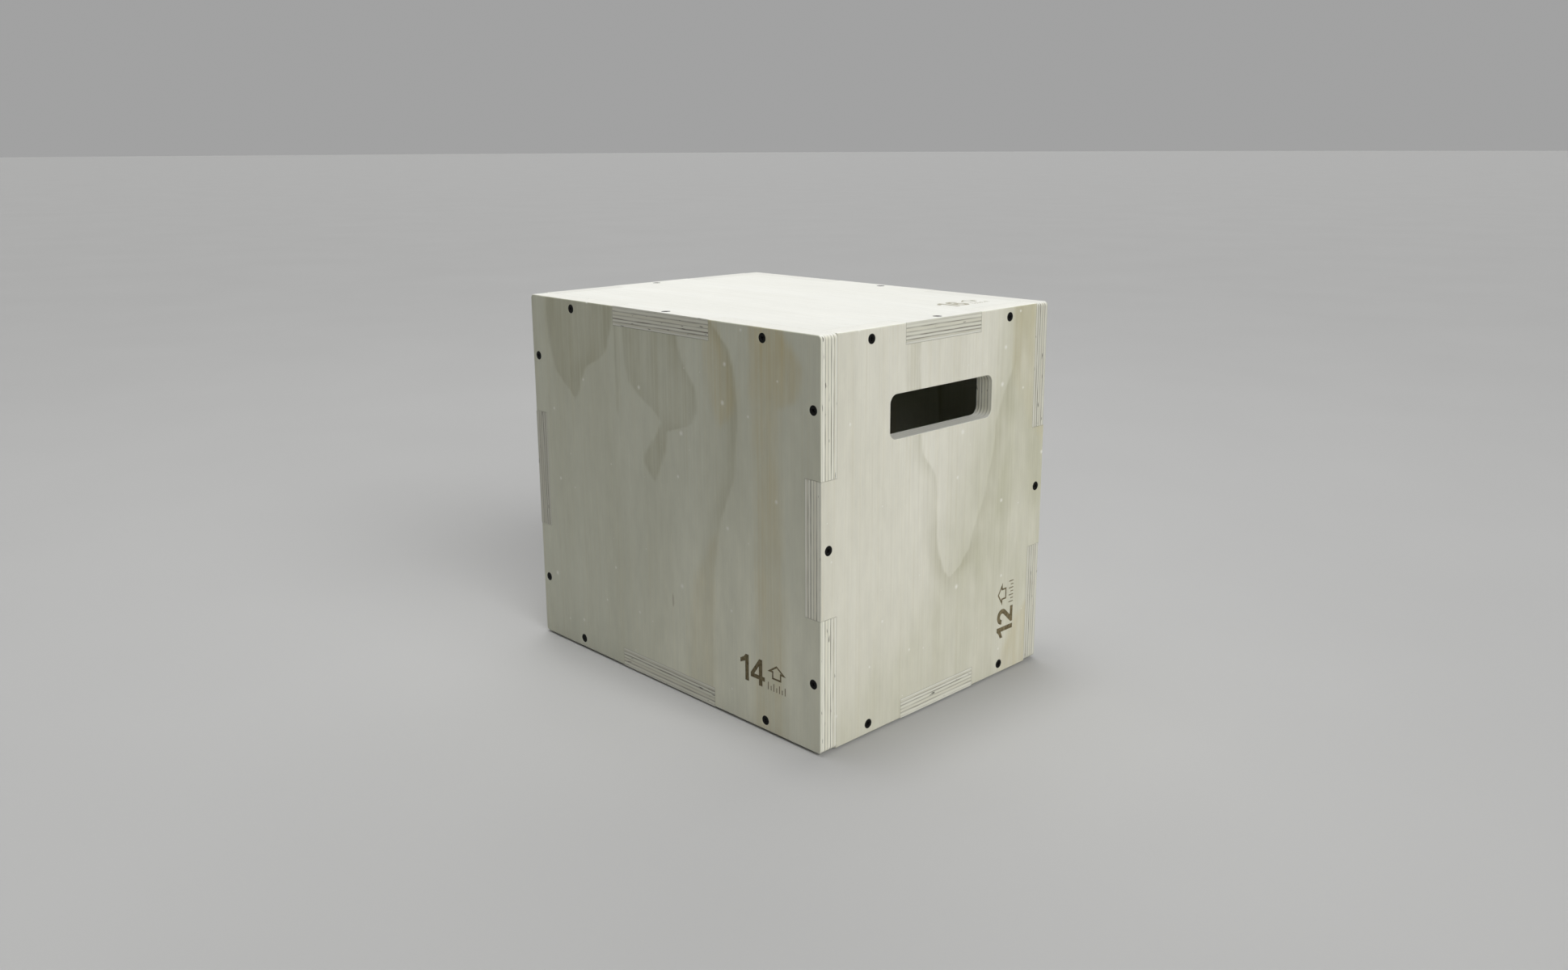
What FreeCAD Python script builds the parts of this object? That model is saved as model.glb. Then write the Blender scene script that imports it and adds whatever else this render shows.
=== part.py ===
import FreeCAD, Part
import os
import Sketcher

# Plyo box of six plywood panels, finger jointed in the middle of every edge and held by wood screws.
# The origin is the middle of the underside. X runs along the length, Y along the width and Z up.

vector = FreeCAD.Vector
doc = FreeCAD.newDocument("plyo_box")

# Driving sizes in millimetres, each with what it measures
driving_sizes = [
    ("box_length", 406.4, "outside length, the 16 inch step"),
    ("box_width", 304.8, "outside width, the 12 inch step"),
    ("box_height", 355.6, "outside height, the 14 inch step"),
    ("ply_thickness", 18.0, "thickness of every panel"),
    ("joint_gap", 0.2, "glue line left around tabs and along butting edges"),
    ("long_tab", 135.4, "tab of the top and bottom panels on the front and back"),
    ("cross_tab", 101.6, "tab of the top and bottom panels on the ends"),
    ("upright_tab", 118.4, "tab of the end panels on the front and back"),
    ("corner_radius", 4.0, "corner of the front and back panels, seen from the front"),
    ("edge_round", 1.2, "rounding along the outer edge of an upright panel's face"),
    ("hand_hole_length", 139.0, "hand hole, along the width"),
    ("hand_hole_height", 39.0, "hand hole, upwards"),
    ("hand_hole_radius", 8.0, "corner of the hand hole"),
    ("hand_hole_drop", 59.0, "from the top of the box to the hand hole"),
    ("hand_hole_ease", 0.6, "rounding of the hand hole's rims"),
    ("screw_length", 50.0, "wood screw, over its head"),
    ("screw_head", 8.6, "diameter of the countersunk head"),
    ("screw_shank", 4.4, "diameter of the shank"),
    ("screw_point", 7.0, "length of the tapered point"),
    ("screw_sink", 0.2, "depth of the head below the panel's face"),
    ("screw_clearance", 0.1, "gap between a screw and its hole"),
    ("long_screw_inset", 68.0, "screws along the length, from the box's ends"),
    ("cross_screw_inset", 59.0, "screws along the width, from the front and the back"),
    ("upright_screw_inset", 61.0, "screws up the corners, from the top and the bottom"),
]
sheet = doc.addObject("Spreadsheet::Sheet", "Sizes")
for row, (alias, size, note) in enumerate(driving_sizes, start=1):
    sheet.set(f"A{row}", note)
    sheet.set(f"B{row}", str(size))
    sheet.setAlias(f"B{row}", alias)
doc.recompute()

# Places worked out from the sizes, as expressions
half_length = "Sizes.box_length / 2"
half_width = "Sizes.box_width / 2"
half_height = "Sizes.box_height / 2"
mid_ply = "Sizes.ply_thickness / 2"
seat_depth = "(Sizes.ply_thickness + Sizes.joint_gap)"
long_screw = f"{half_length} - Sizes.long_screw_inset"
cross_screw = f"{half_width} - Sizes.cross_screw_inset"
upright_screw = f"{half_height} - Sizes.upright_screw_inset"
shank_hole = "Sizes.screw_shank + 2 * Sizes.screw_clearance"
countersink = "Sizes.screw_head + 2 * (Sizes.screw_sink + Sizes.screw_clearance)"
pilot_depth = f"Sizes.screw_sink + Sizes.screw_length + Sizes.screw_clearance - {seat_depth}"

# Angles in degrees: the screw heads, how the panels are turned about X and then about Z, and a full turn
head_angle = 90
lying_angle = 0
upright_angle = 90
turned_over_angle = 180
facing_front_angle = 0
facing_right_angle = 90
facing_back_angle = 180
facing_left_angle = -90
full_turn_angle = 360

# Places closer than this count as one, and a cut takes away more than this many cubic millimetres.
tolerance = 1e-4
least_cut = 1.0


def number(expression):
    return float(sheet.evalExpression(expression))


def near(one, other):
    return abs(one - other) < tolerance


def within(place, reach):
    return abs(place) < reach + tolerance


def both_sides(place):
    return [place, f"-({place})"]


# Sketches and features
def origin_plane(body, role):
    return next(plane for plane in body.Origin.OriginFeatures if plane.Role == role)


def new_sketch(body, name, role="XY_Plane", lift=None):
    sketch = body.newObject("Sketcher::SketchObject", f"{body.Name}_{name}")
    sketch.AttachmentSupport = [(origin_plane(body, role), "")]
    sketch.MapMode = "FlatFace"
    if lift:
        sketch.setExpression("AttachmentOffset.Base.z", lift)
    return sketch


def dimension(sketch, expression, kind, *ends):
    index = sketch.addConstraint(Sketcher.Constraint(kind, *ends, number(expression)))
    sketch.setExpression(f"Constraints[{index}]", expression)


def hold_point(sketch, geometry, point, x, y):
    sides = (("DistanceX", -2, x), ("DistanceY", -1, y))
    for kind, axis, place in sides:
        if near(number(place), 0):
            sketch.addConstraint(Sketcher.Constraint("PointOnObject", geometry, point, axis))
        elif number(place) > 0:
            dimension(sketch, place, kind, -1, 1, geometry, point)
        else:
            dimension(sketch, f"-({place})", kind, geometry, point, -1, 1)


def rectangle(sketch, width, height, x="0", y="0"):
    middle = vector(number(x), number(y), 0)
    reach = vector(number(width) / 2, number(height) / 2, 0)
    corners = []
    for side_x, side_y in ((-1, -1), (1, -1), (1, 1), (-1, 1)):
        corners.append(middle + vector(side_x * reach.x, side_y * reach.y, 0))
    lines = []
    for start, end in zip(corners, corners[1:] + corners[:1]):
        lines.append(sketch.addGeometry(Part.LineSegment(start, end)))
    for line, following in zip(lines, lines[1:] + lines[:1]):
        sketch.addConstraint(Sketcher.Constraint("Coincident", line, 2, following, 1))
    for line, kind in zip(lines, ("Horizontal", "Vertical") * 2):
        sketch.addConstraint(Sketcher.Constraint(kind, line))
    centre = sketch.addGeometry(Part.Point(middle), True)
    hold_point(sketch, centre, 1, x, y)
    sketch.addConstraint(Sketcher.Constraint("Symmetric", lines[0], 1, lines[2], 1, centre, 1))
    dimension(sketch, width, "DistanceX", lines[0], 1, lines[0], 2)
    dimension(sketch, height, "DistanceY", lines[1], 1, lines[1], 2)


def circles(sketch, diameter, places):
    rings = []
    for x, y in places:
        middle = vector(number(x), number(y), 0)
        ring = sketch.addGeometry(Part.Circle(middle, vector(0, 0, 1), number(diameter) / 2))
        hold_point(sketch, ring, 3, x, y)
        rings.append(ring)
    dimension(sketch, diameter, "Diameter", rings[0])
    for ring in rings[1:]:
        sketch.addConstraint(Sketcher.Constraint("Equal", rings[0], ring))


def pad(body, sketch):
    added = body.newObject("PartDesign::Pad", f"{sketch.Name}_pad")
    added.Profile = sketch
    added.Reversed = True
    added.setExpression("Length", "Sizes.ply_thickness")
    doc.recompute()


def check_cut(body, volume_before):
    doc.recompute()
    if body.Shape.Volume > volume_before - least_cut:
        raise RuntimeError(f"{body.Tip.Name} cut nothing")


def cut_through(body, sketch):
    volume = body.Shape.Volume
    cut = body.newObject("PartDesign::Pocket", f"{sketch.Name}_cut")
    cut.Profile = sketch
    cut.Type = "ThroughAll"
    check_cut(body, volume)


def round_edges(body, name, radius, wanted):
    base = body.Tip
    edges = []
    for index, edge in enumerate(base.Shape.Edges, start=1):
        middle = (edge.FirstParameter + edge.LastParameter) / 2
        if wanted(edge.valueAt(middle), edge.tangentAt(middle)):
            edges.append(f"Edge{index}")
    rounded = body.newObject("PartDesign::Fillet", f"{body.Name}_{name}")
    rounded.Base = (base, edges)
    rounded.setExpression("Radius", radius)
    doc.recompute()


# A panel lies in its own XY plane, centred, with its outer face at Z = 0 and its thickness below.
def new_panel(name, width, height):
    body = doc.addObject("PartDesign::Body", name)
    outline = new_sketch(body, "outline")
    rectangle(outline, width, height)
    pad(body, outline)
    return body


def add_tabs(body, name, width, height):
    bar = new_sketch(body, name)
    rectangle(bar, width, height)
    pad(body, bar)


def cut_notches(body, name, notches):
    sketch = new_sketch(body, name)
    for width, height, x, y in notches:
        rectangle(sketch, width, height, x, y)
    cut_through(body, sketch)


# A notch is drawn across the panel's edge, so half of its depth lies outside the panel.
def edge_notches(tab, half_height_of_panel):
    opening = f"{tab} + 2 * Sizes.joint_gap"
    return [(opening, f"2 * {seat_depth}", "0", y) for y in both_sides(half_height_of_panel)]


def side_notches(tab, half_width_of_panel):
    opening = f"{tab} + 2 * Sizes.joint_gap"
    return [(f"2 * {seat_depth}", opening, x, "0") for x in both_sides(half_width_of_panel)]


def broad_panel(name):
    body = new_panel(name, "Sizes.box_length", "Sizes.box_height")
    round_edges(body, "corners", "Sizes.corner_radius", lambda middle, along: near(abs(along.z), 1))
    round_edges(body, "face_edge", "Sizes.edge_round", lambda middle, along: near(middle.z, 0))
    notches = edge_notches("Sizes.long_tab", half_height) + side_notches("Sizes.upright_tab", half_length)
    cut_notches(body, "notches", notches)
    return body


def end_panel(name):
    body = new_panel(name, f"Sizes.box_width - 2 * {seat_depth}", "Sizes.box_height")
    edge_y = number(half_height)
    round_edges(body, "face_edge", "Sizes.edge_round",
                lambda middle, along: near(middle.z, 0) and near(abs(middle.y), edge_y))
    cut_notches(body, "notches", edge_notches("Sizes.cross_tab", half_height))
    add_tabs(body, "tabs", "Sizes.box_width", "Sizes.upright_tab")
    cut_hand_hole(body)
    return body


def cut_hand_hole(body):
    middle_y = f"{half_height} - Sizes.hand_hole_drop - Sizes.hand_hole_height / 2"
    hole = new_sketch(body, "hand_hole")
    rectangle(hole, "Sizes.hand_hole_length", "Sizes.hand_hole_height", "0", middle_y)
    cut_through(body, hole)
    reach_x = number("Sizes.hand_hole_length / 2")
    reach_y = number("Sizes.hand_hole_height / 2")
    centre_y = number(middle_y)

    def on_wall(middle):
        across = near(abs(middle.x), reach_x) and within(middle.y - centre_y, reach_y)
        along = near(abs(middle.y - centre_y), reach_y) and within(middle.x, reach_x)
        return across or along

    def on_rim(middle, along):
        inside = within(middle.x, reach_x) and within(middle.y - centre_y, reach_y)
        return inside and near(along.z, 0)

    round_edges(body, "hand_hole_corners", "Sizes.hand_hole_radius",
                lambda middle, along: on_wall(middle) and near(abs(along.z), 1))
    round_edges(body, "hand_hole_rims", "Sizes.hand_hole_ease", on_rim)


def lid_panel(name):
    body = new_panel(name, f"Sizes.box_length - 2 * {seat_depth}", f"Sizes.box_width - 2 * {seat_depth}")
    add_tabs(body, "long_tabs", "Sizes.long_tab", "Sizes.box_width")
    add_tabs(body, "cross_tabs", "Sizes.box_length", "Sizes.cross_tab")
    return body


# Screw holes: countersunk through a panel's face, and pilot holes into its edges
def countersunk_holes(body, places):
    volume = body.Shape.Volume
    sketch = new_sketch(body, "screw_places")
    circles(sketch, shank_hole, places)
    doc.recompute()
    holes = body.newObject("PartDesign::Hole", f"{body.Name}_screw_holes")
    holes.Profile = sketch
    doc.recompute()
    holes.ThreadType = "None"
    holes.DepthType = "ThroughAll"
    holes.setExpression("Diameter", shank_hole)
    holes.HoleCutType = "Countersink"
    holes.HoleCutCustomValues = True
    holes.setExpression("HoleCutDiameter", countersink)
    holes.HoleCutCountersinkAngle = head_angle
    check_cut(body, volume)


def pilot_holes(body, name, role, lift, inwards, places):
    volume = body.Shape.Volume
    sketch = new_sketch(body, name, role, lift)
    circles(sketch, shank_hole, [(place, f"-{mid_ply}") for place in places])
    drilled = body.newObject("PartDesign::Pocket", f"{sketch.Name}_drilled")
    drilled.Profile = sketch
    drilled.Reversed = inwards
    drilled.setExpression("Length", pilot_depth)
    check_cut(body, volume)
    opposite = body.newObject("PartDesign::Mirrored", f"{sketch.Name}_opposite")
    opposite.Originals = [drilled]
    opposite.MirrorPlane = (origin_plane(body, role), [""])
    body.Tip = opposite
    doc.recompute()


# Each kind of panel: how it is cut, its half sizes, and where screws pass its face and enter its edges.
# Screws near the upper and lower edges are spaced along x, those near the side edges along y.
panel_kinds = {
    "broad": {
        "make": broad_panel,
        "half_x": half_length,
        "half_y": half_height,
        "driven_x": both_sides(long_screw),
        "driven_y": both_sides(upright_screw),
        "taken_x": ["0"],
        "taken_y": ["0"],
    },
    "end": {
        "make": end_panel,
        "half_x": half_width,
        "half_y": half_height,
        "driven_x": both_sides(cross_screw),
        "driven_y": ["0"],
        "taken_x": ["0"],
        "taken_y": both_sides(upright_screw),
    },
    "lid": {
        "make": lid_panel,
        "half_x": half_length,
        "half_y": half_width,
        "driven_x": ["0"],
        "driven_y": ["0"],
        "taken_x": both_sides(long_screw),
        "taken_y": both_sides(cross_screw),
    },
}

# Where each panel stands: its turns about X and then Z, its outer face's middle, and its neighbours
# at its own right, left, upper and lower edges.
panels = [
    ("front", "front_panel", "broad", upright_angle, facing_front_angle,
     ("0", f"-{half_width}", half_height),
     ("right", "left", "top", "bottom")),
    ("back", "back_panel", "broad", upright_angle, facing_back_angle,
     ("0", half_width, half_height),
     ("left", "right", "top", "bottom")),
    ("right_end", "right_end_panel", "end", upright_angle, facing_right_angle,
     (half_length, "0", half_height),
     ("back", "front", "top", "bottom")),
    ("left_end", "left_end_panel", "end", upright_angle, facing_left_angle,
     (f"-{half_length}", "0", half_height),
     ("front", "back", "top", "bottom")),
    ("top", "top_panel", "lid", lying_angle, facing_front_angle,
     ("0", "0", "Sizes.box_height"),
     ("right", "left", "back", "front")),
    ("bottom", "bottom_panel", "lid", turned_over_angle, facing_front_angle,
     ("0", "0", "0"),
     ("right", "left", "front", "back")),
]


def screw_rows(kind):
    edge_x = f"{kind['half_x']} - {mid_ply}"
    edge_y = f"{kind['half_y']} - {mid_ply}"
    rows = [[(x, y) for y in kind["driven_y"]] for x in both_sides(edge_x)]
    rows += [[(x, y) for x in kind["driven_x"]] for y in both_sides(edge_y)]
    return rows


def drill_panel(body, kind):
    countersunk_holes(body, [place for row in screw_rows(kind) for place in row])
    seat_x = f"{kind['half_x']} - {seat_depth}"
    seat_y = f"{kind['half_y']} - {seat_depth}"
    pilot_holes(body, "side_pilots", "YZ_Plane", seat_x, False, kind["taken_y"])
    pilot_holes(body, "edge_pilots", "XZ_Plane", f"-({seat_y})", True, kind["taken_x"])


def stand_panel(body, turn_x, turn_z, middle):
    upright = FreeCAD.Rotation(vector(1, 0, 0), turn_x)
    facing = FreeCAD.Rotation(vector(0, 0, 1), turn_z)
    body.Placement = FreeCAD.Placement(vector(0, 0, 0), facing * upright)
    for axis, place in zip("xyz", middle):
        body.setExpression(f"Placement.Base.{axis}", place)


# One wood screw, turned about Z, with the top of its head at Z = 0
def wood_screw():
    body = doc.addObject("PartDesign::Body", "wood_screw")
    profile = new_sketch(body, "profile", "XZ_Plane")
    head = number("Sizes.screw_head") / 2
    shank = number("Sizes.screw_shank") / 2
    length = number("Sizes.screw_length")
    taper = length - number("Sizes.screw_point")
    points = [(0, 0), (head, 0), (shank, shank - head), (shank, -taper), (0, -length)]
    corners = [vector(x, z, 0) for x, z in points]
    lines = []
    for start, end in zip(corners, corners[1:] + corners[:1]):
        lines.append(profile.addGeometry(Part.LineSegment(start, end)))
    for line, following in zip(lines, lines[1:] + lines[:1]):
        profile.addConstraint(Sketcher.Constraint("Coincident", line, 2, following, 1))
    face, cone, side, point, axis = lines
    profile.addConstraint(Sketcher.Constraint("Coincident", face, 1, -1, 1))
    profile.addConstraint(Sketcher.Constraint("Horizontal", face))
    profile.addConstraint(Sketcher.Constraint("Vertical", side))
    profile.addConstraint(Sketcher.Constraint("Vertical", axis))
    dimension(profile, "Sizes.screw_head / 2", "DistanceX", face, 1, face, 2)
    dimension(profile, "Sizes.screw_shank / 2", "DistanceX", -1, 1, cone, 2)
    dimension(profile, "(Sizes.screw_head - Sizes.screw_shank) / 2", "DistanceY", cone, 2, cone, 1)
    dimension(profile, "Sizes.screw_point", "DistanceY", point, 2, point, 1)
    dimension(profile, "Sizes.screw_length", "DistanceY", axis, 1, axis, 2)
    turned = body.newObject("PartDesign::Revolution", "wood_screw_turned")
    turned.Profile = profile
    turned.ReferenceAxis = (profile, ["V_Axis"])
    turned.Angle = full_turn_angle
    doc.recompute()
    return body


# A row of screws along one edge of a panel, each a copy of the one screw placed on the panel
def screw_row(label, screw, panel, places):
    copies = []
    for index, (x, y) in enumerate(places, start=1):
        copy = doc.addObject("App::Link", f"{label}_{index}")
        copy.LinkedObject = screw
        seat = f"placement(vector({x}; {y}; -Sizes.screw_sink); rotation(0; 0; 0))"
        copy.setExpression("Placement", f"{panel.Name}.Placement * {seat}")
        copies.append(copy)
    row = doc.addObject("Part::Compound", label)
    row.Links = copies
    return row


screw = wood_screw()
subparts = []
for side, name, kind_name, turn_x, turn_z, middle, neighbours in panels:
    kind = panel_kinds[kind_name]
    panel = kind["make"](name)
    drill_panel(panel, kind)
    stand_panel(panel, turn_x, turn_z, middle)
    subparts.append(panel)
    for neighbour, places in zip(neighbours, screw_rows(kind)):
        ending = "screws" if len(places) > 1 else "screw"
        subparts.append(screw_row(f"{side}_{neighbour}_{ending}", screw, panel, places))
doc.recompute()

for made in doc.Objects:
    if "Invalid" in made.State or "Error" in made.State:
        raise RuntimeError(f"{made.Label} failed: {made.State}")
for subpart in subparts:
    if subpart.Shape.isNull() or not subpart.Shape.isValid():
        raise RuntimeError(f"{subpart.Label} has no valid shape")

os.makedirs("parts", exist_ok=True)
for subpart in subparts:
    subpart.Shape.exportStep(f"parts/{subpart.Label}.step")
solid_count = sum(len(subpart.Shape.Solids) for subpart in subparts)
print(f"{len(subparts)} nodes, {solid_count} solids")
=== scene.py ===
import math
import random

import bmesh
import bpy
from mathutils import Matrix, Vector


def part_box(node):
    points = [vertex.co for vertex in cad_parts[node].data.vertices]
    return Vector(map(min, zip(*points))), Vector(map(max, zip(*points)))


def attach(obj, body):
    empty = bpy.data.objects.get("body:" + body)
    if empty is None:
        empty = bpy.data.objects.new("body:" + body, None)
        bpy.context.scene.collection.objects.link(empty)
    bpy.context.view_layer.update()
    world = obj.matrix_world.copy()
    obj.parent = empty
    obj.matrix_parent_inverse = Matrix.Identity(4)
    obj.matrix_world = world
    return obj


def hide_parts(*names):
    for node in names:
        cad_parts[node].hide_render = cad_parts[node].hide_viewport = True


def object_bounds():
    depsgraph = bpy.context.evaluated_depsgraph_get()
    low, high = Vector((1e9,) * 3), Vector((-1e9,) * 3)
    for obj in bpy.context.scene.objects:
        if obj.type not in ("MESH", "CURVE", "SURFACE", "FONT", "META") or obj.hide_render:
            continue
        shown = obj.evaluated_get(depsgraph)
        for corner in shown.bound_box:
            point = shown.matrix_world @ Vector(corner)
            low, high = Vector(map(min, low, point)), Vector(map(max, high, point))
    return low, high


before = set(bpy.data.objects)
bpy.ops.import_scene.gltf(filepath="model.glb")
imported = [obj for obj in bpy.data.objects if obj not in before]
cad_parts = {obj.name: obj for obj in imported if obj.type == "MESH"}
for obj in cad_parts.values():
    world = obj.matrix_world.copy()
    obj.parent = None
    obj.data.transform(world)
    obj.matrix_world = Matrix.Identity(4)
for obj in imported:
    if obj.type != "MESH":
        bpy.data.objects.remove(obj)        # six plywood panels and their rows of wood screws
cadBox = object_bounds()
scene = bpy.context.scene
scene.view_settings.view_transform = "Standard"
millimetre = 0.001
print("frame loaded:", len(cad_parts), "nodes")


# colours are written as sRGB hex and turned to linear here
def colour(hexText):
    channels = [int(hexText[i:i + 2], 16) / 255 for i in (1, 3, 5)]
    linear = [c / 12.92 if c <= 0.04045 else ((c + 0.055) / 1.055) ** 2.4 for c in channels]
    return (*linear, 1.0)


def grey(level):
    return (level, level, level, 1)


# inputs are values, sockets or whole nodes, by name or by place
def setInputs(tree, node, inputs):
    live = [socket for socket in node.inputs if socket.enabled]
    for name, value in inputs.items():
        socket = live[name] if isinstance(name, int) else next(s for s in live if s.name == name)
        if isinstance(value, bpy.types.Node):
            value = next(s for s in value.outputs if s.enabled)
        if isinstance(value, bpy.types.NodeSocket):
            tree.links.new(value, socket)
        else:
            socket.default_value = value


# Adds a node. Stops are for a colour ramp, and every other setting is a property of the node.
def addNode(tree, kind, inputs=None, stops=(), **settings):
    node = tree.nodes.new("ShaderNode" + kind)
    for name, value in settings.items():
        setattr(node, name, value)
    setInputs(tree, node, inputs or {})
    if stops:
        band = node.color_ramp.elements
        band.remove(band[-1])
        band[0].position, band[0].color = stops[0]
        for place, shade in stops[1:]:
            band.new(place).color = shade
    return node


def newMaterial(name):
    material = bpy.data.materials.new(name)
    material.use_nodes = True
    tree = material.node_tree
    return material, tree, tree.nodes["Principled BSDF"]


# camera where the photograph was taken from, in metres and degrees, with its lens in image pixels
camera = {
    "spot": (0.9, -0.8633, 0.5034),
    "azimuth": 45.75,
    "dip": 12.92,
    "roll": -0.24,
    "focalPixels": 1593.4,
    "middlePixel": (980, 540),      # where the lens points
    "imagePixels": (1940, 1200),
    "sensorWidth": 36,              # millimetres
    "clipStart": 0.05,
}


def makeCamera(c):
    data = bpy.data.cameras.new("camera")
    width, height = c["imagePixels"]
    data.sensor_fit = "HORIZONTAL"
    data.sensor_width = c["sensorWidth"]
    data.lens = c["focalPixels"] / width * c["sensorWidth"]
    data.shift_x = (width / 2 - c["middlePixel"][0]) / width
    data.shift_y = (c["middlePixel"][1] - height / 2) / width
    data.clip_start = c["clipStart"]
    seen = bpy.data.objects.new("camera", data)
    turn = Matrix.Rotation(math.radians(c["azimuth"]), 4, "Z")
    tilt = Matrix.Rotation(math.radians(90 - c["dip"]), 4, "X")
    lean = Matrix.Rotation(math.radians(c["roll"]), 4, "Z")
    seen.matrix_world = Matrix.Translation(c["spot"]) @ turn @ tilt @ lean
    scene.collection.objects.link(seen)
    scene.camera = seen


makeCamera(camera)
print("camera placed")

# The board: 18 mm plywood of seven plies with a pale rotary-cut veneer outside.
# Depths are in millimetres from a panel's outer face.
board = {
    "thickness": 18.0,
    "glueLines": [1.5, 4.8, 8.3, 11.7, 14.7, 16.5],
    "glueStrength": [0.3, 0.75, 0.55, 1.0, 0.8, 0.2],
    "glueWidth": 0.9,           # a real line is about 0.2, too fine to show
    "plyTones": ["#ECEBDC", "#EDECDD", "#E7E5D4", "#EAE9D9", "#EEEDDF", "#E5E3D1", "#F1F0E4"],
    "pale": "#E1E1D3",
    "olive": "#A5A286",
    "tan": "#C5B990",
    # partly the buff tone of the wood and partly painted shade
    "buffWithPaintedShade": "#BFBEA6",
    # painted light: the paler tone of a broad pool of light
    "paintedLightPool": "#EFEEDB",
    "pith": "#857A5C",
    "glue": "#665F4F",
    "void": "#2C271D",
    "chalk": "#F2F1EA",
    # painted light on cut edges that face up
    "paintedToplight": "#EFEFE9",
    # painted shade along the joints
    "jointShade": "#5E5746",
    "jointShadeWidth": 0.5,           # painted shade in the joints' gaps, drawn wide enough to see
    "jointShadeStrength": 0.5,
    "faceTurn": 0.7,            # cosine of the turn up to which a rounded edge still counts as veneer
    "streakLift": 1 / 3,        # how much streaks add to a figure, for each part that they take away
    "speckStep": 36.0,          # how far apart the places for a chalk speck are
    "speckless": 0.5,           # share of those places that have none
    "speckRadius": 3.0,         # of the largest
    "speckStrength": 0.85,
    "specular": 0.3,
    "bumpStrength": 0.25,
    "bumpDepth": 0.1,
}

# Grain sizes in millimetres along the grain, across it and through the board, then how many finer octaves.
# Fibres and flecks are far finer in real wood and are drawn coarse enough to show.
grains = {
    "fibre": (90, 0.9, 0.9, 3),
    "fleck": (9, 0.35, 1, 1),
    "streak": (300, 2.5, 3, 3),
    "cloud": (260, 60, 60, 2),
    "sway": (90, 35, 35, 2),
    "patch": (70, 26, 40, 2),
    "blotch": (28, 9, 20, 3),
    "ragged": (40, 1.6, 5, 2),
    "core": (22, 22, 0.7, 2),
    "gap": (9, 9, 1.2, 0),
}

# What the grain's noise does: the low and high values that count, and what those are turned to.
# For the painted light on cut edges that face up it is the slope of a cut edge, 1 where it faces up.
effects = {
    "cloud": {"From Min": 0.35, "From Max": 0.7, "To Min": 0, "To Max": 0.2},
    "streak": {"From Min": 0.5, "From Max": 0.8, "To Min": 0, "To Max": 0.2},
    "broken": {"From Min": 0.3, "From Max": 0.7},       # turned to what each figure's grain gives
    "patch": {"From Min": 0.35, "From Max": 0.65, "To Min": 0.6, "To Max": 1.2},
    "blotch": {"From Min": 0.3, "From Max": 0.7, "To Min": 0.034, "To Max": -0.034},
    "fibre": {"From Min": 0.25, "From Max": 0.75, "To Min": 0.96, "To Max": 1.03},
    "fleck": {"From Min": 0.62, "From Max": 0.78, "To Min": 1.0, "To Max": 0.88},
    "roughness": {"From Min": 0.25, "From Max": 0.75, "To Min": 0.7, "To Max": 0.56},
    "ply": {"From Min": 0.3, "From Max": 0.7, "To Min": 0.94, "To Max": 1.03},
    "glue": {"From Min": 0.35, "From Max": 0.65, "To Min": 1.2, "To Max": 0.4},
    "void": {"From Min": 0.775, "From Max": 0.81, "To Min": 0, "To Max": 0.9},
    "paintedToplight": {"From Min": 0.5, "From Max": 0.9, "To Min": 0, "To Max": 0.7},
}

# Figure that the lathe knife leaves where it runs along the growth rings. The same outlines also draw a
# broad shade that is partly painted shade, and a broad pool that is painted light. A figure is an outline on
# the veneer and is darkest just inside it, or outside where side is -1. Soft is half the width of its edge
# and fade how far in its core begins, in millimetres. Core is the strength there as a part of level, which
# is how strong the figure is, and grain is how much the streaks break it up.
figures = {
    "ring": {"tone": "olive", "side": 1, "soft": 3.2, "fade": 34, "core": 0.6, "level": 0.62, "grain": 0.55},
    "edge": {"tone": "olive", "side": 1, "soft": 2.5, "fade": 28, "core": 0.0, "level": 0.6, "grain": 0.5},
    "halo": {"tone": "olive", "side": -1, "soft": 2.0, "fade": 26, "core": 0.1, "level": 0.4, "grain": 0.4},
    "heart": {"tone": "tan", "side": 1, "soft": 8.0, "fade": 40, "core": 0.85, "level": 0.7, "grain": 0.55},
    # shade: partly darker buff wood and partly painted shade, where the light falls off
    "shade": {"tone": "buffWithPaintedShade", "side": 1, "soft": 45.0, "fade": 60, "core": 1.0, "level": 0.75, "grain": 0.2},
    # painted light: a broad pool of paler tone, drawn like a figure
    "paintedLightPool": {"tone": "paintedLightPool", "side": 1, "soft": 70.0, "fade": 80, "core": 1.0, "level": 0.6, "grain": 0.2},
    "pith": {"tone": "pith", "side": 1, "soft": 1.2, "fade": 9, "core": 1.0, "level": 0.6, "grain": 0.1},
}
outlineSpan = 460.0         # millimetres that outlines are drawn in, from side to side
wander = {"sway": 14.0, "ragged": 7.0}      # how far outlines stray, in millimetres

# Finger joints in millimetres: the tabs' lengths on the long, cross and upright edges, and the glue gap
joint = {"longTab": 135.4, "crossTab": 101.6, "uprightTab": 118.4, "gap": 0.2}


# Where each kind of panel is cut away for its neighbours, in millimetres from its middle: within or beyond
# a place across the grain, and within or beyond a place along it
def jointCuts(j):
    halfLength, halfWidth, halfHeight = (cadBox[1] - cadBox[0]) / 2 / millimetre
    halfLong, halfCross, halfUpright = (j[tab] / 2 for tab in ("longTab", "crossTab", "uprightTab"))
    seat = board["thickness"] + j["gap"]
    within, beyond = 1, -1
    return {
        "broad": [
            (within, halfLong + j["gap"], beyond, halfHeight - seat),
            (beyond, halfLength - seat, within, halfUpright + j["gap"]),
        ],
        "end": [
            (within, halfCross + j["gap"], beyond, halfHeight - seat),
            (beyond, halfWidth - seat, beyond, halfUpright),
        ],
        "lid": [
            (beyond, halfWidth - seat, beyond, halfLong),
            (beyond, halfCross, beyond, halfLength - seat),
        ],
    }


cuts = jointCuts(joint)


# middle of the outer face of a node's box
def outerMiddle(name, inward):
    low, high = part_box(name)
    return (low + high) / 2 - inward * abs(inward.dot(high - low)) / 2


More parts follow.
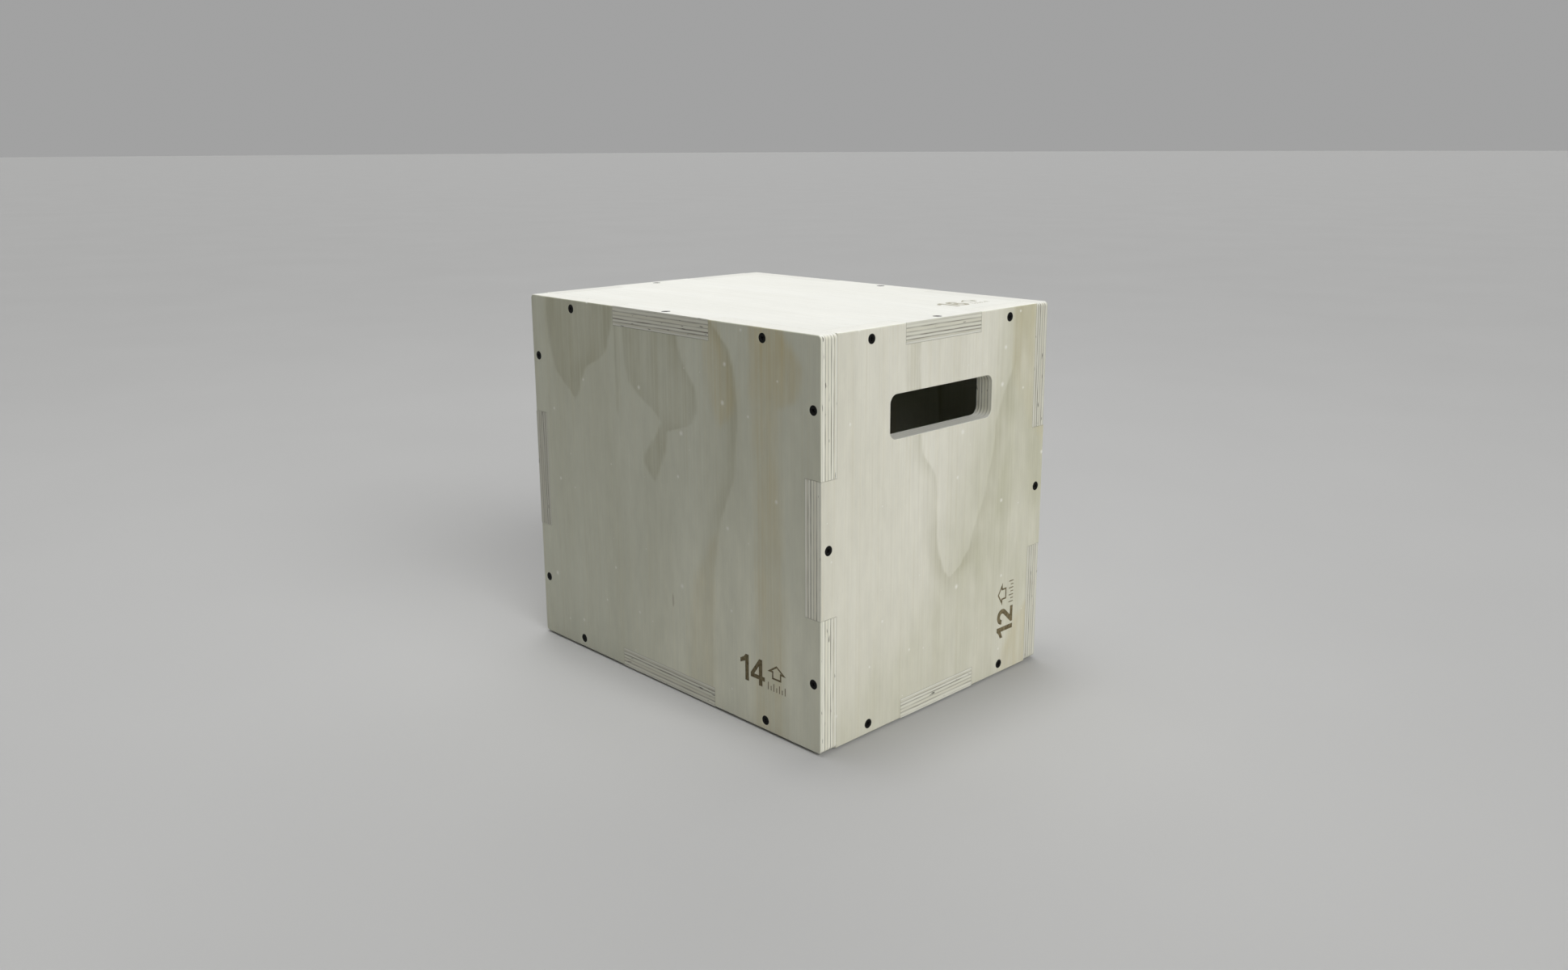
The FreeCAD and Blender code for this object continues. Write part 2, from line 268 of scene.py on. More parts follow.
# place on a panel in millimetres: along the grain, across it, and in from the outer face
def panelPlace(tree, name, panel):
    axes = Matrix([panel["along"], panel["across"], panel["inward"]])
    return addNode(tree, "Mapping", {
        "Vector": addNode(tree, "TexCoord").outputs["Object"],
        "Location": -(axes @ outerMiddle(name, Vector(panel["inward"]))) / millimetre,
        "Rotation": axes.to_euler(),
        "Scale": (1 / millimetre,) * 3,
    })


def grainNoises(tree, local, seed):
    grain = {}
    for label, (along, across, through, octaves) in grains.items():
        stretched = addNode(tree, "VectorMath", {
            0: local, 1: (1 / along, 1 / across, 1 / through),
        }, operation="MULTIPLY")
        grain[label] = addNode(tree, "TexNoise", {
            "Vector": stretched, "W": seed, "Scale": 1.0, "Detail": octaves,
        }, noise_dimensions="4D")
    return grain


# How far inside an outline a place is, in millimetres across the grain, and how strong the figure is there.
# One colour ramp along the panel holds the left side as red, the right as green and the strength as blue.
def insideOutline(tree, along, across, waves, rows):
    stops = []
    for place, left, right, *strength in rows:
        sides = [0.5 + side / outlineSpan for side in (left, right)]
        stops.append((0.5 + place / outlineSpan, (*sides, *(strength or [1]), 1)))
    ramp = addNode(tree, "ValToRGB", {"Fac": along}, stops=stops)
    ramp.color_ramp.interpolation = "CARDINAL"
    left, right, strength = addNode(tree, "SeparateColor", {"Color": ramp}).outputs
    fromLeft = addNode(tree, "Math", {0: across, 1: left}, operation="SUBTRACT")
    fromRight = addNode(tree, "Math", {0: right, 1: across}, operation="SUBTRACT")
    nearer = addNode(tree, "Math", {0: fromLeft, 1: fromRight}, operation="MINIMUM")
    inside = addNode(tree, "Math", {0: nearer, 1: outlineSpan, 2: waves}, operation="MULTIPLY_ADD")
    return inside, strength


def figureLevel(tree, inside, strength, grain, f, contrast):
    rise = addNode(tree, "MapRange", {
        "Value": inside, "From Min": -f["side"] * f["soft"], "From Max": f["side"] * f["soft"],
    }, interpolation_type="SMOOTHSTEP")
    fade = addNode(tree, "MapRange", {
        "Value": inside, "From Min": 0, "From Max": f["side"] * f["fade"],
        "To Min": f["level"] * contrast, "To Max": f["level"] * f["core"] * contrast,
    }, interpolation_type="SMOOTHSTEP")
    broken = addNode(tree, "MapRange", {
        "Value": grain["streak"], **effects["broken"],
        "To Min": 1 - f["grain"], "To Max": 1 + f["grain"] * board["streakLift"],
    })
    patchy = addNode(tree, "MapRange", {"Value": grain["patch"], **effects["patch"]})
    level = addNode(tree, "Math", {0: rise, 1: fade}, operation="MULTIPLY")
    for factor in (strength, broken, patchy):
        level = addNode(tree, "Math", {0: level, 1: factor}, operation="MULTIPLY")
    return level


# a few pale specks of chalk from hands and shoes, of uneven size
def chalkSpecks(tree, local, veneer):
    step = board["speckStep"]
    flat = addNode(tree, "VectorMath", {0: local, 1: (1 / step,) * 3}, operation="MULTIPLY")
    cells = addNode(tree, "TexVoronoi", {"Vector": flat, "Scale": 1.0}, voronoi_dimensions="2D")
    chance = addNode(tree, "SeparateColor", {"Color": cells.outputs["Color"]}).outputs[0]
    radius = addNode(tree, "MapRange", {
        "Value": chance, "From Min": board["speckless"], "From Max": 1,
        "To Min": 0, "To Max": board["speckRadius"] / step,
    })
    speck = addNode(tree, "MapRange", {
        "Value": cells.outputs["Distance"], "From Min": radius, "From Max": 0,
        "To Min": 0, "To Max": board["speckStrength"],
    })
    chalk = colour(board["chalk"])
    return addNode(tree, "Mix", {"Factor": speck, "A": veneer, "B": chalk}, data_type="RGBA")


def veneerColour(tree, local, grain, panel):
    # the ground is pale, with broad olive clouds and faint tan streaks
    veneer = colour(panel.get("pale", board["pale"]))
    for label, tone in (("cloud", "olive"), ("streak", "tan")):
        amount = addNode(tree, "MapRange", {"Value": grain[label], **effects[label]})
        amount = addNode(tree, "Math", {0: amount, 1: panel["contrast"]}, operation="MULTIPLY")
        tone = colour(board[tone])
        veneer = addNode(tree, "Mix", {"Factor": amount, "A": veneer, "B": tone}, data_type="RGBA")

    # figures
    waves = 0.0
    for label, reach in wander.items():
        centred = addNode(tree, "Math", {0: grain[label], 1: 0.5}, operation="SUBTRACT")
        waves = addNode(tree, "Math", {0: centred, 1: reach, 2: waves}, operation="MULTIPLY_ADD")
    spot = addNode(tree, "VectorMath", {
        0: local, 1: (1 / outlineSpan,) * 3, 2: (0.5,) * 3,
    }, operation="MULTIPLY_ADD")
    along, across, _ = addNode(tree, "SeparateXYZ", {"Vector": spot}).outputs
    for kind, rows in panel["figures"]:
        inside, strength = insideOutline(tree, along, across, waves, rows)
        level = figureLevel(tree, inside, strength, grain, figures[kind], panel["contrast"])
        tone = colour(board[figures[kind]["tone"]])
        veneer = addNode(tree, "Mix", {"Factor": level, "A": veneer, "B": tone}, data_type="RGBA")

    # faint blotches, fine fibres and short dark flecks
    shade = addNode(tree, "MapRange", {"Value": grain["blotch"], **effects["blotch"]})
    shade = addNode(tree, "Math", {0: shade, 1: panel["contrast"], 2: 1}, operation="MULTIPLY_ADD")
    for label in ("fibre", "fleck"):
        factor = addNode(tree, "MapRange", {"Value": grain[label], **effects[label]})
        shade = addNode(tree, "Math", {0: shade, 1: factor}, operation="MULTIPLY")
    veneer = addNode(tree, "VectorMath", {0: veneer, "Scale": shade}, operation="SCALE")
    return chalkSpecks(tree, local, veneer)


def edgeColour(tree, depth, grain, panel):
    thickness = board["thickness"]
    part = addNode(tree, "Math", {0: depth, 1: thickness}, operation="DIVIDE")
    starts = [0] + board["glueLines"]
    plies = addNode(tree, "ValToRGB", {"Fac": part}, stops=[
        (start / thickness, colour(tone)) for start, tone in zip(starts, board["plyTones"])
    ])
    plies.color_ramp.interpolation = "CONSTANT"
    lineStops = [(0, grey(0))]
    for line, dark in zip(board["glueLines"], board["glueStrength"]):
        for side, level in ((-1, 0), (0, dark), (1, 0)):
            lineStops.append(((line + side * board["glueWidth"]) / thickness, grey(level)))
    lines = addNode(tree, "ValToRGB", {"Fac": part}, stops=lineStops)
    speckle = addNode(tree, "MapRange", {"Value": grain["core"], **effects["ply"]})
    # painted shade and light on the cut edges, a factor for each side
    speckle = addNode(tree, "Math", {0: speckle, 1: panel["paintedEdgeShade"]}, operation="MULTIPLY")
    core = addNode(tree, "VectorMath", {0: plies, "Scale": speckle}, operation="SCALE")
    fade = addNode(tree, "MapRange", {"Value": grain["core"], **effects["glue"]})
    glue = addNode(tree, "Math", {0: lines, 1: fade}, operation="MULTIPLY")
    core = addNode(tree, "Mix", {"Factor": glue, "A": core, "B": colour(board["glue"])}, data_type="RGBA")
    hollow = addNode(tree, "MapRange", {"Value": grain["gap"], **effects["void"]})
    dark = colour(board["void"])
    return addNode(tree, "Mix", {"Factor": hollow, "A": core, "B": dark}, data_type="RGBA")


# painted light: cut edges that face up are painted paler, as the light from above shows them
def paintedToplightEdge(tree, normal, edge):
    up = addNode(tree, "SeparateXYZ", {"Vector": normal}).outputs["Z"]
    paintedToplight = addNode(tree, "MapRange", {"Value": up, **effects["paintedToplight"]})
    pale = colour(board["paintedToplight"])
    return addNode(tree, "Mix", {"Factor": paintedToplight, "A": edge, "B": pale}, data_type="RGBA")


# painted shade along the joints' gaps on the outer face: how dark it is, from the distance to the joint's
# edge
def paintedJointShade(tree, along, across, panel):
    offAlong = addNode(tree, "Math", {0: along}, operation="ABSOLUTE")
    offAcross = addNode(tree, "Math", {0: across}, operation="ABSOLUTE")
    gap = None
    for sideAcross, edgeAcross, sideAlong, edgeAlong in cuts[panel["kind"]]:
        one = addNode(tree, "Math", {
            0: offAcross, 1: sideAcross, 2: -sideAcross * edgeAcross,
        }, operation="MULTIPLY_ADD")
        other = addNode(tree, "Math", {
            0: offAlong, 1: sideAlong, 2: -sideAlong * edgeAlong,
        }, operation="MULTIPLY_ADD")
        notch = addNode(tree, "Math", {0: one, 1: other}, operation="MAXIMUM")
        gap = addNode(tree, "Math", {0: gap, 1: notch}, operation="MINIMUM") if gap else notch
    return addNode(tree, "MapRange", {
        "Value": gap, "From Min": 0, "From Max": board["jointShadeWidth"],
        "To Min": board["jointShadeStrength"], "To Max": 0,
    })


def plywood(name, panel):
    # sanded raw veneer: matt, pale, faint cathedral figure; cut edges show plies and dark glue lines
    material, tree, shader = newMaterial("plywood_" + name)
    local = panelPlace(tree, name, panel)
    along, across, depth = addNode(tree, "SeparateXYZ", {"Vector": local}).outputs
    grain = grainNoises(tree, local, panel["seed"])
    veneer = veneerColour(tree, local, grain, panel)
    # painted shade along the joints
    jointShade = paintedJointShade(tree, along, across, panel)
    dark = colour(board["jointShade"])
    veneer = addNode(tree, "Mix", {"Factor": jointShade, "A": veneer, "B": dark}, data_type="RGBA")
    normal = addNode(tree, "TexCoord").outputs["Normal"]
    # painted light on the cut edges that face up
    edge = paintedToplightEdge(tree, normal, edgeColour(tree, depth, grain, panel))
    facing = addNode(tree, "VectorMath", {0: normal, 1: panel["inward"]}, operation="DOT_PRODUCT")
    facing = addNode(tree, "Math", {0: facing.outputs["Value"]}, operation="ABSOLUTE")
    onFace = addNode(tree, "Math", {0: facing, 1: board["faceTurn"]}, operation="GREATER_THAN")
    setInputs(tree, shader, {
        "Base Color": addNode(tree, "Mix", {"Factor": onFace, "A": edge, "B": veneer}, data_type="RGBA"),
        "Roughness": addNode(tree, "MapRange", {"Value": grain["fibre"], **effects["roughness"]}),
        "Specular IOR Level": board["specular"],
        "Normal": addNode(tree, "Bump", {
            "Strength": board["bumpStrength"], "Distance": board["bumpDepth"] * millimetre,
            "Height": grain["fibre"],
        }),
    })
    return material


# Each panel: the way its grain runs, the way across, and the way in from its outer face, then its veneer's
# ground tone where it differs from the board's, darker on the front as painted shade and paler on the top as
# painted light, a factor on its cut edges' tone that is painted shade below 1 and painted light above 1,
# which stretch of the noise it has, and how strong its grain and figure are.
# Its figures are outlines in millimetres from its middle: rows of a place along the grain, then the left and
# right sides there, and the strength if it is not 1. Sides that have crossed are past the outline's end.
panels = {
    "front_panel": {
        "kind": "broad", "along": (0, 0, 1), "across": (1, 0, 0), "inward": (0, 1, 0),
        # painted shade: the front's ground tone is darker than the board's
        "pale": "#D0D1C0", "paintedEdgeShade": 0.97, "seed": 1.0, "contrast": 1.0, "figures": [
            # painted light, paler towards the lower right of the front
            ("paintedLightPool", [
                (-178, -40, 219), (-90, 0, 219), (-30, 30, 219, 0.6), (20, 60, 219, 0.35),
                (60, 90, 219, 0.2), (178, 150, 219, 0.1),
            ]),
            ("edge", [
                (-178, -219, 66, 0.3), (-64, -219, 69, 0.35), (6, -219, 82, 0.6), (37, -219, 97, 0.75),
                (77, -219, 103, 0.8), (112, -219, 102), (142, -219, 98), (160, -219, 90), (178, -219, 70),
            ]),
            ("heart", [
                (-178, 28, 66, 0.35), (-100, 34, 68, 0.35), (-50, 50, 70, 0.5), (-10, 76, 74, 0.6),
                (20, 110, 70, 0.6),
            ]),
            ("heart", [
                (-178, 120, 160, 0.6), (0, 126, 157, 0.65), (110, 124, 154, 0.75), (120, 122, 172),
                (138, 122, 180), (155, 122, 177), (178, 122, 158),
            ]),
            ("heart", [(70, 90, 60, 0.7), (100, 72, 96, 0.7), (140, 64, 96, 0.7), (178, 60, 78, 0.7)]),
            ("ring", [
                (60, -118, -150), (83, -134, -134), (90, -145, -126), (104, -163, -119), (117, -169, -108),
                (130, -173, -84), (150, -175, -74), (178, -176, -70),
            ]),
            ("ring", [
                (66, -60, -70, 0.8), (80, -66, -64, 0.8), (110, -67.5, -62, 0.8), (178, -67, -63, 0.8),
            ]),
            ("ring", [
                (2, 2, -26), (20, -12, -12), (28, -21, -6), (38, -26, 0), (50, -22, 6), (62, -12, 8, 0.9),
                (72, -3, 12, 0.75), (80, -2, 40, 0.6), (92, -22, 50, 0.6), (106, -42, 51, 0.65),
                (118, -49, 47, 0.7), (130, -53, 36, 0.75), (150, -54, 27, 0.9), (178, -54, 22, 1.1),
            ]),
            ("pith", [(-104, 17, 5), (-96, 11, 11), (-90, 9.6, 12.4), (-84, 11, 11), (-76, 17, 5)]),
        ],
    },
    "back_panel": {          # a side that was not seen, so its figure is made up
        "kind": "broad", "along": (0, 0, 1), "across": (-1, 0, 0), "inward": (0, -1, 0),
        "pale": "#DEDFD1", "paintedEdgeShade": 0.8, "seed": 7.3, "contrast": 0.7, "figures": [
            ("edge", [
                (-178, -219, -60), (-90, -219, -66), (-20, -219, -84), (40, -219, -92), (110, -219, -80),
                (178, -219, -76),
            ]),
            ("heart", [(-178, -36, -8), (0, -30, 4), (178, -40, -4)]),
            ("halo", [
                (-178, 36, 152), (-110, 44, 148), (-50, 58, 138), (0, 76, 128), (30, 90, 118), (42, 97, 111),
                (48, 104, 104), (58, 118, 90),
            ]),
            ("halo", [
                (-178, 62, 130), (-130, 68, 127), (-80, 80, 119), (-50, 91, 111), (-42, 96, 106),
                (-37, 101, 101), (-27, 118, 84),
            ]),
        ],
    },
    "right_end_panel": {
        "kind": "end", "along": (0, 0, 1), "across": (0, 1, 0), "inward": (-1, 0, 0),
        "pale": "#E4E2D4", "paintedEdgeShade": 1.03, "seed": 3.1, "contrast": 1.0, "figures": [
            # darker towards the far edge and the bottom of the right side: partly buff wood, partly painted
            # shade
            ("shade", [
                (-178, -160, 219, 0.5), (-110, -60, 219, 0.6), (-60, 10, 219, 0.9), (0, 28, 219),
                (60, 50, 219), (120, 80, 219), (178, 86, 219),
            ]),
            ("halo", [
                (-84, 29, 1), (-60, 15, 15), (-54, 8, 27), (-41, 2, 40), (-21, -3, 49), (0, -6, 60),
                (24, -8, 67), (42, -12, 73), (58, -25, 76), (77, -28, 79), (105, -29, 90), (122, -29, 99),
                (178, -30, 101),
            ]),
            ("heart", [
                (30, 160, 130, 0.4), (60, 134, 180, 0.4), (100, 110, 180, 0.4), (120, 103, 180, 0.5),
                (178, 101, 180, 0.5),
            ]),
            ("heart", [
                (-178, 94, 180, 0.6), (-150, 103, 180, 0.6), (-118, 128, 180, 0.6), (-90, 160, 140, 0.6),
            ]),
        ],
    },
    "left_end_panel": {          # a side that was not seen, so its figure is made up
        "kind": "end", "along": (0, 0, 1), "across": (0, -1, 0), "inward": (1, 0, 0),
        "paintedEdgeShade": 0.72, "seed": 9.2, "contrast": 0.7, "figures": [
            ("halo", [
                (-178, -74, 34), (-100, -66, 28), (-40, -54, 16), (10, -42, 2), (34, -32, -10),
                (42, -26, -16), (47, -21, -21), (57, -4, -38),
            ]),
            ("halo", [
                (-178, -50, 12), (-130, -45, 8), (-90, -36, 0), (-66, -28, -8), (-58, -24, -12),
                (-54, -18, -18), (-44, 0, -36),
            ]),
            ("heart", [(-178, 78, 120), (0, 84, 126), (178, 76, 118)]),
        ],
    },
    "top_panel": {
        "kind": "lid", "along": (1, 0, 0), "across": (0, -1, 0), "inward": (0, 0, -1),
        # painted light: the top's ground tone is paler than the board's
        "pale": "#ECECE5", "paintedEdgeShade": 0.86, "seed": 5.4, "contrast": 0.4, "figures": [],
    },
    "bottom_panel": {          # a side that was not seen, so its figure is made up
        "kind": "lid", "along": (1, 0, 0), "across": (0, 1, 0), "inward": (0, 0, 1),
        "paintedEdgeShade": 0.88, "seed": 6.6, "contrast": 0.7, "figures": [
            ("halo", [
                (-204, -90, 10), (-120, -84, 4), (-40, -70, -6), (20, -56, -20), (60, -46, -30),
                (70, -42, -34), (75, -38, -38), (86, -20, -56),
            ]),
            ("heart", [(-204, 56, 92), (0, 60, 98), (204, 52, 90)]),
        ],
    },
}
for name, panel in panels.items():
    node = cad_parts[name]
    node.data.materials.clear()
    node.data.materials.append(plywood(name, panel))
print("plywood on", len(panels), "panels")

# Wood screws in millimetres, the head's top at 0 and the point down. The shank has a coarse rolled thread.
screw = {
    "head": 8.6,
    "sides": 28,
    "rim": 0.12,                # small chamfer round the head
    "outline": [(2.2, -2.3), (1.6, -3.2), (1.6, -43.0)],        # radius and height, below the rim
    "tip": -50.0,
    "threadFrom": -7.0,
    "threadRadius": 2.2,
    "threadHalf": 0.55,         # half its width at the root
    "threadSunk": 0.1,          # how deep its root lies in the shank
    "pitch": 2.4,
    "turns": 17,
    "stepsPerTurn": 14,
    "crossArm": 2.25,
    "crossWidth": 1.1,
    "crossDepth": 2.0,
    "crossTaper": 0.45,         # width of the recess at its floor, as a part of its mouth
    "sharpAngle": 35,           # degrees past which an edge is shaded sharp
    "turnSeed": 4,              # how far round each screw was left
}

# blackened hardened steel: near black, satin, a little paler and rougher where the driver rubbed it
phosphatedSteel = {
    "mottle": 1.4,              # phosphate crystals in millimetres, drawn coarse
    "octaves": 3,
    "tones": ("#050504", "#0F0E0D"),
    "roughness": (0.45, 0.62),
    "specular": 0.14,
    "bumpStrength": 0.2,
    "bumpDepth": 0.05,
}

# the stretch of noise over which a mottled finish goes from its first tone, or roughness, to its second
mottleSpan = {"tones": (0.3, 0.75), "roughness": (0.3, 0.7)}


# a finish whose tone, roughness and relief all follow one mottled noise
def mottledFinish(name, finish):
    material, tree, shader = newMaterial(name)
    mottle = addNode(tree, "TexNoise", {
        "Vector": addNode(tree, "TexCoord").outputs["Object"],
        "Scale": 1 / (finish["mottle"] * millimetre), "Detail": finish["octaves"],
    })
    low, high = mottleSpan["roughness"]
    atLow, atHigh = finish["roughness"]
    setInputs(tree, shader, {
        "Base Color": addNode(tree, "ValToRGB", {"Fac": mottle}, stops=[
            (place, colour(tone)) for place, tone in zip(mottleSpan["tones"], finish["tones"])
        ]),
        "Roughness": addNode(tree, "MapRange", {
            "Value": mottle, "From Min": low, "From Max": high, "To Min": atLow, "To Max": atHigh,
        }),
        "Specular IOR Level": finish["specular"],
        "Normal": addNode(tree, "Bump", {
            "Strength": finish["bumpStrength"], "Distance": finish["bumpDepth"] * millimetre,
            "Height": mottle,
        }),
    })
    return material


# pulls a loop of edges out to a new loop and gives back its edges and vertices
def pullLoop(shape, edges, scale, drop):
    pulled = bmesh.ops.extrude_edge_only(shape, edges=edges)["geom"]
    verts = [item for item in pulled if isinstance(item, bmesh.types.BMVert)]
    loop = [
        item for item in pulled if isinstance(item, bmesh.types.BMEdge) and set(item.verts) <= set(verts)
    ]
    bmesh.ops.scale(shape, vec=(scale, scale, 1), verts=verts)
    bmesh.ops.translate(shape, vec=(0, 0, drop), verts=verts)
    return loop, verts


def screwMesh(s):
    shape = bmesh.new()
    radius = s["head"] / 2 - s["rim"]
    bmesh.ops.create_circle(shape, segments=s["sides"], radius=radius)
    rim = list(shape.edges)
    # cross recess
    half = s["crossWidth"] / 2
    arm = [(s["crossArm"], -half, 0), (s["crossArm"], half, 0), (half, half, 0)]
    corners = []
    for quarter in range(4):
        turn = Matrix.Rotation(quarter * math.pi / 2, 3, "Z")
        corners += [shape.verts.new(turn @ Vector(corner)) for corner in arm]
    cross = [shape.edges.new(pair) for pair in zip(corners, corners[1:] + corners[:1])]
    bmesh.ops.triangle_fill(shape, use_beauty=True, edges=rim + cross, normal=(0, 0, 1))
    floorLoop, _ = pullLoop(shape, cross, s["crossTaper"], -s["crossDepth"])
    bmesh.ops.contextual_create(shape, geom=floorLoop)
    # head, shank and point
    loop, height = rim, 0
    for nextRadius, nextHeight in [(s["head"] / 2, -s["rim"])] + s["outline"]:
        loop, _ = pullLoop(shape, loop, nextRadius / radius, nextHeight - height)
        radius, height = nextRadius, nextHeight
    _, verts = pullLoop(shape, loop, 0, s["tip"] - height)
    bmesh.ops.pointmerge(shape, verts=verts, merge_co=(0, 0, s["tip"]))
    # thread, drawn in to the point
    shank, pointFrom = s["outline"][-1]
    root = shank - s["threadSunk"]
    section = ((root, s["threadHalf"]), (s["threadRadius"], 0), (root, -s["threadHalf"]))
    ridge = [shape.verts.new((x, 0, s["threadFrom"] + z)) for x, z in section]
    sides = [shape.edges.new(pair) for pair in zip(ridge, ridge[1:] + ridge[:1])]
    shape.faces.new(ridge)
    wound = bmesh.ops.spin(
        shape, geom=ridge + sides, cent=(0, 0, 0), axis=(0, 0, 1), angle=2 * math.pi * s["turns"],
        dvec=(0, 0, -s["pitch"] / s["stepsPerTurn"]), steps=s["turns"] * s["stepsPerTurn"],
    )
    shape.faces.new([item for item in wound["geom_last"] if isinstance(item, bmesh.types.BMVert)])
    for vert in shape.verts:
        if vert.co.z < pointFrom:
            vert.co.xy *= (vert.co.z - s["tip"]) / (pointFrom - s["tip"])
    bmesh.ops.recalc_face_normals(shape, faces=shape.faces)
    mesh = bpy.data.meshes.new("screw")
    shape.to_mesh(mesh)
    shape.free()
    return mesh


def makeScrews(s):
    single = screwMesh(s)
    steel = mottledFinish("black_phosphated_steel", phosphatedSteel)
    turns = random.Random(s["turnSeed"])
    radius = s["head"] / 2 * millimetre
    count = 0
    for name in sorted(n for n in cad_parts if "screw" in n):
        owner = next(p for p in panels if name.startswith(p.removesuffix("panel")))
        inward = Vector(panels[owner]["inward"])
        aim = (-inward).to_track_quat("Z", "Y").to_matrix().to_4x4()
        # a row is one screw, or two at its ends
        low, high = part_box(name)
        spread = [max(0, half - radius) if not way else 0 for half, way in zip((high - low) / 2, inward)]
        steps = (-1, 1) if max(spread) > radius else (0,)
        row = bmesh.new()
        for step in steps:
            first = len(row.verts)
            row.from_mesh(single)
            row.verts.ensure_lookup_table()
            turn = Matrix.Rotation(turns.uniform(0, math.pi), 4, "Z")
            top = Matrix.Translation(outerMiddle(name, inward) + step * Vector(spread))
            place = top @ aim @ turn @ Matrix.Scale(millimetre, 4)
            bmesh.ops.transform(row, matrix=place, verts=row.verts[first:])
            count += 1
        mesh = bpy.data.meshes.new(name + "_steel")
        row.to_mesh(mesh)
        row.free()
        mesh.shade_smooth()
        mesh.set_sharp_from_angle(angle=math.radians(s["sharpAngle"]))
        mesh.materials.append(steel)
        piece = bpy.data.objects.new(name + "_steel", mesh)
        scene.collection.objects.link(piece)
        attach(piece, "root")
        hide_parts(name)
    print("screws made:", count)


makeScrews(screw)


def arc(x, y, radius, start, end, steps=16):
    turns = [math.radians(start + (end - start) * step / steps) for step in range(steps + 1)]
    return [(x + radius * math.cos(turn), y + radius * math.sin(turn)) for turn in turns]


# Plain bold digits, one unit high: the outside, then a hole if there is one
digits = {
    "1": [[(0.26, 0), (0.45, 0), (0.45, 1), (0.29, 1), (0.19, 0.88), (0, 0.78), (0, 0.62), (0.26, 0.73)]],
    "2": [
        arc(0.33, 0.68, 0.32, 175, -36) + [(0.3, 0.17), (0.66, 0.17), (0.66, 0), (0, 0), (0, 0.12)]
        + arc(0.33, 0.68, 0.13, -40, 175),
    ],
    "4": [
        [
            (0.43, 0), (0.61, 0), (0.61, 0.22), (0.74, 0.22), (0.74, 0.38), (0.61, 0.38),
            (0.61, 1), (0.45, 1), (0, 0.38), (0, 0.22), (0.43, 0.22),
        ],
        [(0.43, 0.38), (0.43, 0.72), (0.19, 0.38)],
    ],
    "6": [
        arc(0.34, 0.69, 0.31, 10, 180) + arc(0.33, 0.32, 0.32, 180, 472) + arc(0.34, 0.69, 0.13, 180, 10),
        arc(0.33, 0.32, 0.135, 0, 337),
    ],
}

# Height marks burnt into the veneer, in millimetres: digits, an arrow that points up, and plain ruler ticks.
# The corner is the digits' lower left, from the middle of the panel's outer face, and right and up are the
# ways that they read.
mark = {
    "digitHeight": 24.5,
    "digitGap": 2.4,
    "arrow": [(11.5, 24.5), (23.0, 17.0), (17.2, 17.0), (17.2, 11.0), (5.8, 11.0), (5.8, 17.0), (0, 17.0)],
    "arrowLine": 1.6,
    "sideGap": 3.4,             # from the digits to the arrow
    "ticks": 7,
    "tickFrom": 1.0,
    "tickStep": 3.5,
    "tickWidth": 0.9,
    "tickHeights": (7.0, 4.2),
    "sunk": 0.1,
    "proud": 0.04,
}
marks = {
    "height_mark_14": {
        "digits": "14", "panel": "front_panel", "corner": (103.5, 0, -138.2),
        "right": (1, 0, 0), "up": (0, 0, 1),
        "tones": ("#5A5039", "#857A5D"),
    },
    "height_mark_12": {
        "digits": "12", "panel": "right_end_panel", "corner": (0, 113, -142.8),
        "right": (0, 0, 1), "up": (0, -1, 0),
        "tones": ("#5A5039", "#857A5D"),
    },
    "height_mark_16": {                 # paler: partly worn by landing feet, partly painted light where the light from above washes the top out
        "digits": "16", "panel": "top_panel", "corner": (165, 58, 0),
        "right": (0, 1, 0), "up": (-1, 0, 0),
        "tones": ("#98937F", "#C4C0B0"),
    },
}

# laser-burnt veneer: scorched brown, matt, paler in the harder rings it passed over
burntVeneer = {
    "mottle": 3.0,              # scorched patches in millimetres
    "octaves": 4,
    "roughness": (0.9, 0.75),
    "specular": 0.2,
    "bumpStrength": 0.3,
    "bumpDepth": 0.1,
}


# draws the digits flat with their lower left corner at 0 and gives back where they end
def drawDigits(shape, text, m):
    size = m["digitHeight"]
    start = 0
    edges = []
    for digit in text:
        for outline in digits[digit]:
            verts = [shape.verts.new((start + x * size, y * size, 0)) for x, y in outline]
            edges += [shape.edges.new(pair) for pair in zip(verts, verts[1:] + verts[:1])]
        start += max(x for x, y in digits[digit][0]) * size + m["digitGap"]
    bmesh.ops.triangle_fill(shape, use_beauty=True, edges=edges, normal=(0, 0, 1))
    return start - m["digitGap"]


